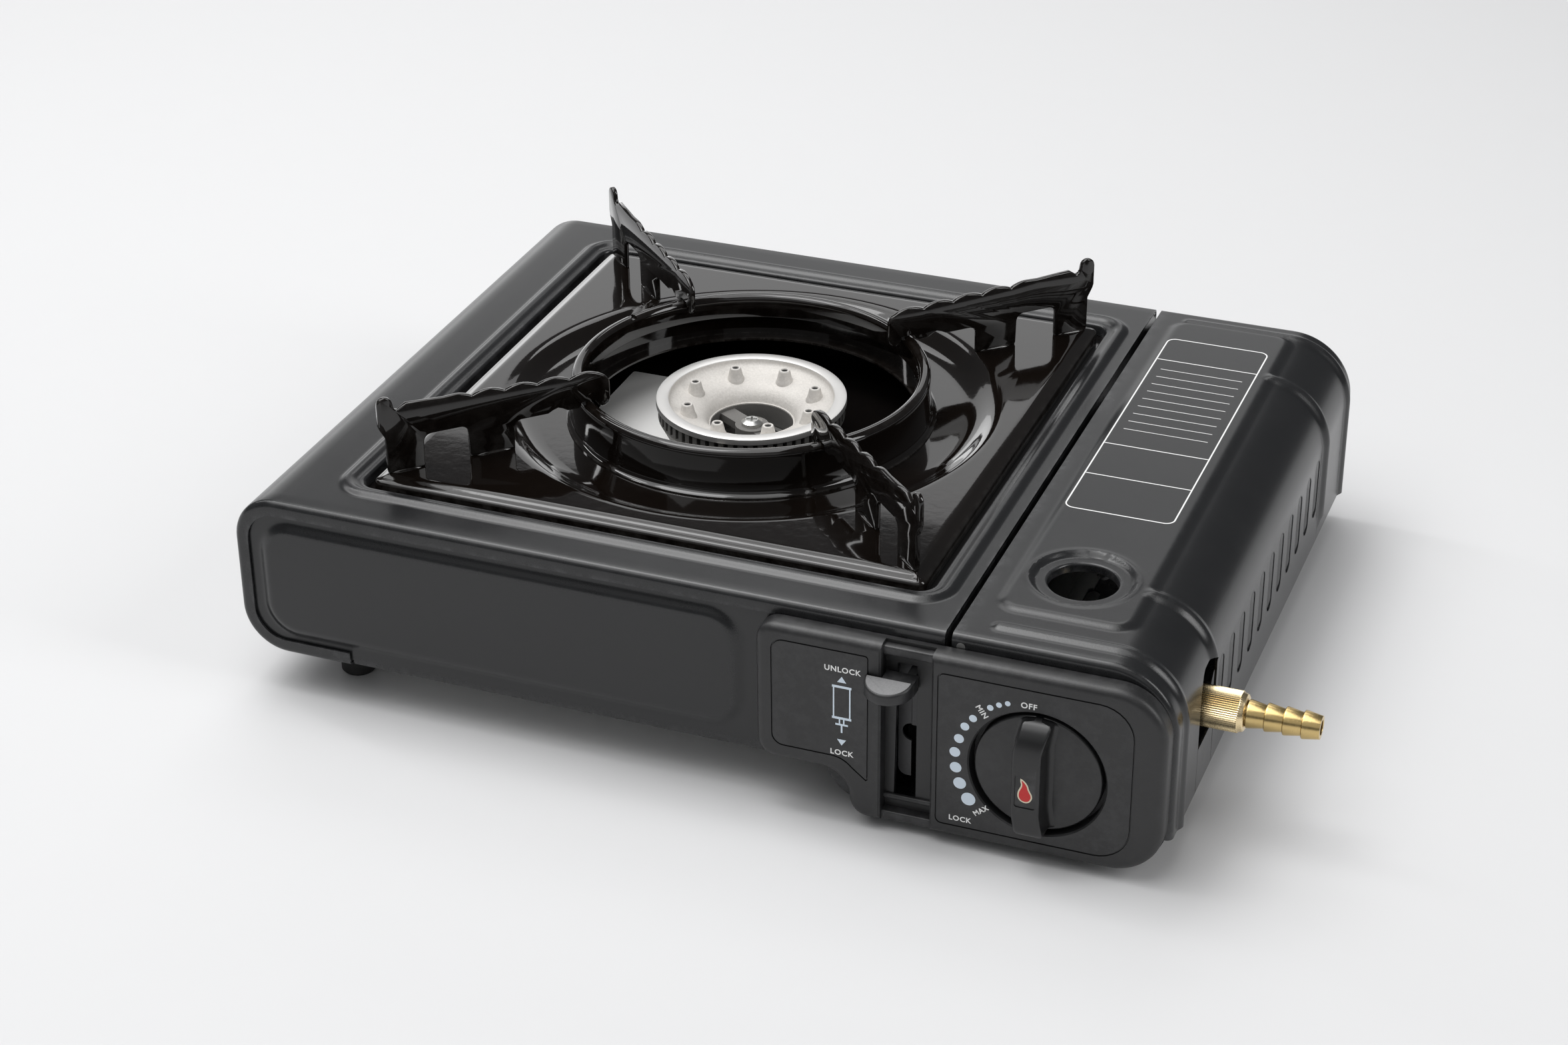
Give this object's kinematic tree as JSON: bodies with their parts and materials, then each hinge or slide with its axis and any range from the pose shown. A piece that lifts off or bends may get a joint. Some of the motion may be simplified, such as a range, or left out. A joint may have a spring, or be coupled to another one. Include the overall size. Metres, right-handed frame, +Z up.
{
  "type": "portable cassette stove",
  "caption": "Portable gas stove with enamelled drip tray, wind ring and pan arms, cast burner, hinged cartridge bay, turning knob and locking lever.",
  "frame": {"origin": "centre of the overall box, at the underside of the feet", "axes": "+X to the right along the width, from the tray towards the cartridge bay; +Y from the controls to the back; +Z up"},
  "size_m": [0.381, 0.2807, 0.1091],
  "materials": {
    "black_body": "black powder coat, satin",
    "enamel": "glossy brown-black vitreous enamel",
    "zinc_steel": "zinc-plated pressed steel",
    "cast_alloy": "die-cast alloy, satin",
    "brass": "machined brass",
    "moulding": "dark grey moulded plastic, fine grain",
    "rubber": "black rubber",
    "white_part": "off-white ceramic or plastic",
    "badge": "red printed badge"
  },
  "bodies": {
    "stove": {"main_shell": "black_body", "front_panel": "black_body", "back_panel": "black_body", "bottom_pan": "zinc_steel", "bay_trough": "black_body", "heat_shield": "zinc_steel", "burner_well": "enamel", "burner_bracket": "zinc_steel", "burner_body": "cast_alloy", "burner_head": "cast_alloy", "burner_screw": "zinc_steel", "mixer_tube": "cast_alloy", "gas_jet": "brass", "gas_feed_tube": "brass", "igniter_electrode": "white_part", "piezo_igniter": "white_part", "valve_body": "cast_alloy", "regulator": "cast_alloy", "cartridge_socket": "zinc_steel", "inlet_pipe": "brass", "inlet_seal": "rubber", "hose_tail": "brass", "control_panel": "moulding", "lever_guide": "zinc_steel", "hinge_pins": "zinc_steel", "rubber_feet": "rubber", "foot_screws": "zinc_steel", "panel_screws": "zinc_steel"},
    "trivet": {"drip_tray": "enamel", "wind_ring": "enamel", "pan_arm_front_left": "enamel", "pan_arm_back_left": "enamel", "pan_arm_back_right": "enamel", "pan_arm_front_right": "enamel"},
    "lid": {"cartridge_lid": "black_body"},
    "knob": {"valve_knob": "moulding", "knob_badge": "badge", "valve_stem": "brass"},
    "lever": {"lever_plate": "zinc_steel", "lever_tab": "moulding"},
    "slider": {"cartridge_slider": "zinc_steel", "drive_pin": "zinc_steel", "slider_spring": "zinc_steel"},
    "nut": {"knurled_nut": "brass"}
  },
  "joints": [
    {"name": "trivet_lift", "type": "slide", "parent": "stove", "child": "trivet", "axis": [0, 0, 1], "range_m": [0, 0.05]},
    {"name": "lid_hinge", "type": "hinge", "parent": "stove", "child": "lid", "pos_m": [0.079, 0.0099, 0.0735], "axis": [0, -1, 0], "range_deg": [0, 95]},
    {"name": "knob_turn", "type": "hinge", "parent": "stove", "child": "knob", "pos_m": [0.1083, -0.1201, 0.0357], "axis": [0, -1, 0], "range_deg": [0, 130]},
    {"name": "lever_slide", "type": "slide", "parent": "stove", "child": "lever", "axis": [0, 0, -1], "range_m": [0, 0.03]},
    {"name": "cartridge_slide", "type": "slide", "parent": "stove", "child": "slider", "axis": [0, -1, 0], "range_m": [0, 0.006], "deforming": ["slider_spring"]},
    {"name": "nut_turn", "type": "hinge", "parent": "stove", "child": "nut", "pos_m": [0.1545, -0.0801, 0.0435], "axis": [1, 0, 0], "continuous": true}
  ],
  "couplings": [
    {"joint": "cartridge_slide", "follows": "lever_slide", "ratio": 0.2}
  ]
}
